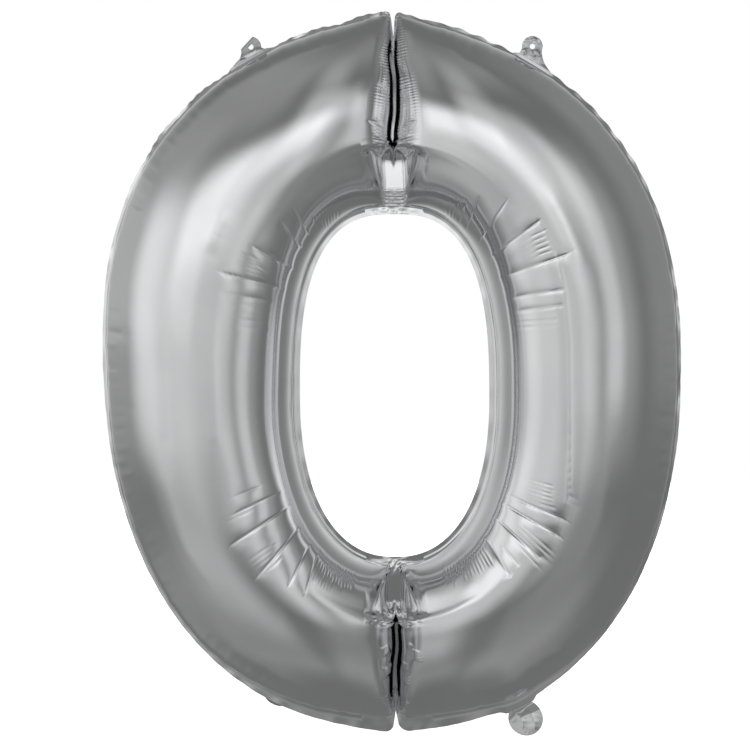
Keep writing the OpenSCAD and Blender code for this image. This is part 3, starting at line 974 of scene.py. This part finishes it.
def foil_material(name, dark, light, smoothest, roughest, bump):
    """Metallised film: faint clouds in its tone and gloss, and a skin of very fine wrinkles."""
    m, nodes, links, surface = new_material(name)
    surface.inputs["Metallic"].default_value = 1
    mix = nodes.new("ShaderNodeMix")
    mix.data_type = "RGBA"
    mix.inputs["A"].default_value = (*dark, 1)
    mix.inputs["B"].default_value = (*light, 1)
    links.new(noise(nodes, links, 9, 4, 0, 1), mix.inputs["Factor"])
    links.new(mix.outputs["Result"], surface.inputs["Base Color"])
    links.new(noise(nodes, links, 25, 3, smoothest, roughest), surface.inputs["Roughness"])
    wrinkles = nodes.new("ShaderNodeBump")
    wrinkles.inputs["Strength"].default_value = bump
    wrinkles.inputs["Distance"].default_value = 0.001
    links.new(noise(nodes, links, 70, 5, 0, 1), wrinkles.inputs["Height"])
    links.new(wrinkles.outputs["Normal"], surface.inputs["Normal"])
    return m


def valve_material():
    """Clear plastic film with a faint haze."""
    m, nodes, links, surface = new_material("valve_film")
    surface.inputs["Base Color"].default_value = (0.92, 0.95, 0.98, 1)
    surface.inputs["Transmission Weight"].default_value = 0.7
    surface.inputs["IOR"].default_value = 1.5
    links.new(noise(nodes, links, 60, 4, 0.15, 0.3), surface.inputs["Roughness"])
    return m


# -------- stage
PHOTO_SPAN = 0.895        # width of the view in the plane of the seam
CAMERA_DISTANCE = 3.0
CAMERA_CENTRE = (-0.0203, -0.003)


def camera():
    """Straight ahead of the balloon, as in the photo."""
    data = bpy.data.cameras.new("camera")
    data.sensor_width = 36
    data.lens = 36 * CAMERA_DISTANCE / PHOTO_SPAN
    data.clip_end = 50
    obj = bpy.data.objects.new("camera", data)
    obj.location = (CAMERA_CENTRE[0], -CAMERA_DISTANCE, CAMERA_CENTRE[1])
    obj.rotation_euler = (math.pi / 2, 0, 0)
    bpy.context.scene.collection.objects.link(obj)
    bpy.context.scene.camera = obj


def world():
    """White for the camera. The light dome hides the world from everything else."""
    w = bpy.data.worlds.new("studio")
    bpy.context.scene.world = w
    w.use_nodes = True
    w.node_tree.nodes["Background"].inputs["Color"].default_value = (1, 1, 1, 1)


# Patches of light on the dome, in degrees: azimuth and its half width, elevation and its half height,
# softness of the edges, radiance. Azimuth 0 is towards the camera and rises to the right.
# The first 13 radiances began as a least-squares fit of the light to a photograph, rounded and then
# adjusted. The other 8 were set one by one.
DOME_BASE = 0.175
DOME_PATCHES = [
    (-30, 50, 10, 20, 10, 0.38),
    (-15, 30, 20, 10, 7, 0.33),
    (-85, 65, 16, 13, 5, 0.12),
    (-105, 50, 14, 28, 12, 0.16),
    (38, 26, 14, 22, 12, 0.18),
    (42, 8, 16, 20, 6, 0.25),
    (180, 36, 22, 36, 20, 0.35),
    (-175, 18, -20, 14, 14, 0.45),
    (165, 14, 0, 28, 14, 0.15),
    (-42, 24, -22, 18, 14, 0.25),
    (5, 14, 52, 14, 12, 0.18),
    (15, 24, 32, 12, 8, 0.25),
    (30, 16, -14, 12, 10, 0.08),
    (-40, 34, -44, 16, 14, 0.07),
    (38, 26, -44, 16, 14, 0.09),
    (-45, 46, -60, 8, 10, 0.06),
    (45, 40, -60, 10, 12, 0.07),
    (-100, 30, -40, 12, 12, 0.1),
    (-65, 40, 52, 12, 12, 0.1),
    (-20, 80, 70, 10, 10, 0.08),
    (110, 30, 30, 34, 16, 0.08),
]
DOME_RADIUS = 0.9
DOME_COLUMNS, DOME_ROWS = 64, 32


def math_node(nodes, links, operation, *values):
    """Output of a math node whose inputs are numbers or other outputs."""
    n = nodes.new("ShaderNodeMath")
    n.operation = operation
    for socket, value in zip(n.inputs, values):
        if isinstance(value, (int, float)):
            socket.default_value = value
        else:
            links.new(value, socket)
    return n.outputs[0]


def soft_step(nodes, links, value, edge, softness):
    """One where value is well below edge, nought where it is well above."""
    n = nodes.new("ShaderNodeMapRange")
    n.interpolation_type = "SMOOTHSTEP"
    links.new(value, n.inputs["Value"])
    n.inputs["From Min"].default_value = edge - softness
    n.inputs["From Max"].default_value = edge + softness
    n.inputs["To Min"].default_value = 1
    n.inputs["To Max"].default_value = 0
    return n.outputs["Result"]


def angle_off(nodes, links, value, middle):
    """Distance of an angle from the middle of a patch."""
    off = math_node(nodes, links, "SUBTRACT", value, middle)
    return math_node(nodes, links, "ABSOLUTE", math_node(nodes, links, "WRAP", off, 180, -180))


def dome_angles(nodes, links):
    """Azimuth and elevation of a point of the dome, in degrees."""
    at = nodes.new("ShaderNodeNewGeometry").outputs["Position"]
    xyz = nodes.new("ShaderNodeSeparateXYZ")
    links.new(at, xyz.inputs[0])
    x, y, z = xyz.outputs
    behind = math_node(nodes, links, "MULTIPLY", y, -1)
    azimuth = math_node(nodes, links, "DEGREES", math_node(nodes, links, "ARCTAN2", x, behind))
    height = math_node(nodes, links, "DIVIDE", z, DOME_RADIUS)
    return azimuth, math_node(nodes, links, "DEGREES", math_node(nodes, links, "ARCSINE", height))


def dome_material():
    """Soft light from the dome's own position: a low base, and the patches on top of it."""
    m = bpy.data.materials.new("light_dome")
    m.use_nodes = True
    nodes, links = m.node_tree.nodes, m.node_tree.links
    nodes.clear()
    azimuth, elevation = dome_angles(nodes, links)
    total = DOME_BASE
    for azimuth_mid, half_width, elevation_mid, half_height, softness, radiance in DOME_PATCHES:
        aside = angle_off(nodes, links, azimuth, azimuth_mid)
        up = angle_off(nodes, links, elevation, elevation_mid)
        in_width = soft_step(nodes, links, aside, half_width, softness)
        in_height = soft_step(nodes, links, up, half_height, softness)
        mask = math_node(nodes, links, "MULTIPLY", in_width, in_height)
        total = math_node(nodes, links, "MULTIPLY_ADD", mask, radiance, total)
    emission = nodes.new("ShaderNodeEmission")
    links.new(total, emission.inputs["Strength"])
    links.new(emission.outputs[0], nodes.new("ShaderNodeOutputMaterial").inputs["Surface"])
    return m


def light_dome():
    """A sphere of soft light round the balloon, which the camera looks through."""
    a = np.linspace(0, 2 * np.pi, DOME_COLUMNS, endpoint=False)[:, None]
    e = np.linspace(-np.pi / 2, np.pi / 2, DOME_ROWS + 1)[None, :]
    p = np.stack([np.cos(a) * np.cos(e), np.sin(a) * np.cos(e), np.sin(e) + 0 * a], -1).reshape(-1, 3)
    faces = []
    for c in range(DOME_COLUMNS):
        here, there = c * (DOME_ROWS + 1), (c + 1) % DOME_COLUMNS * (DOME_ROWS + 1)
        faces += [[here + r, here + r + 1, there + r + 1, there + r] for r in range(DOME_ROWS)]
    data = bpy.data.meshes.new("light_dome")
    data.from_pydata((p * DOME_RADIUS).tolist(), [], faces)
    data.materials.append(dome_material())
    dome = bpy.data.objects.new("light_dome", data)
    dome.visible_camera = False
    bpy.context.scene.collection.objects.link(dome)


FLOOR_Z = -0.47
FLOOR_CORNERS = [(-4, -4), (4, -4), (4, 8), (-4, 8)]


def floor():
    """A pale floor below the balloon. The foil mirrors the dome's lower half, not the floor."""
    data = bpy.data.meshes.new("floor")
    data.from_pydata([(x, y, FLOOR_Z) for x, y in FLOOR_CORNERS], [], [(0, 1, 2, 3)])
    m = bpy.data.materials.new("floor")
    m.use_nodes = True
    surface = m.node_tree.nodes["Principled BSDF"]
    surface.inputs["Base Color"].default_value = (0.9, 0.9, 0.9, 1)
    surface.inputs["Roughness"].default_value = 0.9
    surface.inputs["Emission Color"].default_value = (1, 1, 1, 1)
    surface.inputs["Emission Strength"].default_value = 0.9
    data.materials.append(m)
    plane = bpy.data.objects.new("floor", data)
    plane.visible_glossy = False
    bpy.context.scene.collection.objects.link(plane)


# -------- the pieces; only the envelope's go on a body
SILVER, PALE_SILVER = (0.80, 0.805, 0.815), (0.86, 0.865, 0.87)
TAB_DARK, TAB_LIGHT = (0.60, 0.605, 0.615), (0.76, 0.765, 0.775)
TAIL_DARK, TAIL_LIGHT = (0.90, 0.905, 0.91), (0.96, 0.965, 0.97)


def install(piece, material, body, node):
    """Gives a piece its material and hides the CAD part it stands for. A piece of the envelope goes on the
    envelope's body; a tab or a leaf of the tail only has its transform baked.
    """
    piece.data.materials.append(material)
    if body == "envelope":
        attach(piece, body)
    else:
        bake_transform(piece)
    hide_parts(node)
    return piece


def tab(name, outline, surface, body, node):
    """One hanging tab."""
    piece = thin_sheet(name, outline, TAB_HOLE_R, TAB_ROWS, surface, FILM)
    return install(piece, tab_foil, body, node)


def tail_leaf(name, face, node):
    """One leaf of the tail."""
    piece = thin_sheet(name, tail_outline(), PINHOLE_R, TAIL_ROWS, tail_surface(face), FILM / 2)
    return install(piece, tail_foil, "tail", node)


camera()
world()
light_dome()
floor()

foil = foil_material("foil", SILVER, PALE_SILVER, 0.07, 0.12, 0.02)
tab_foil = foil_material("tab_foil", TAB_DARK, TAB_LIGHT, 0.2, 0.32, 0.12)
tail_foil = foil_material("tail_foil", TAIL_DARK, TAIL_LIGHT, 0.16, 0.26, 0.08)
clear_film = valve_material()

front_foil = install(film_panel("front_foil", FRONT), foil, "envelope", "front_panel")
back_foil = install(film_panel("back_foil", BACK), foil, "envelope", "back_panel")

left_outline = crown_tab_outline(LEFT, "left_tab", LEFT_TAB_HOLE)
right_outline = crown_tab_outline(RIGHT, "right_tab", RIGHT_TAB_HOLE)
left_tab = tab("left_hanging_tab", left_outline, left_tab_surface, "left_tab", "top_left_tab")
right_tab = tab("right_hanging_tab", right_outline, right_tab_surface, "right_tab", "top_right_tab")
foot_tab = tab("foot_hanging_tab", foot_tab_outline(), foot_tab_surface, "foot_tab", "bottom_left_tab")

tail_front = tail_leaf("tail_front", FRONT, "tail_front_leaf")
tail_back = tail_leaf("tail_back", BACK, "tail_back_leaf")

valve_front = valve_film("valve_front", FRONT)
install(valve_front, clear_film, "envelope", "valve_front_film")
valve_back = valve_film("valve_back", BACK)
install(valve_back, clear_film, "envelope", "valve_back_film")

bpy.context.scene.view_settings.view_transform = "Standard"
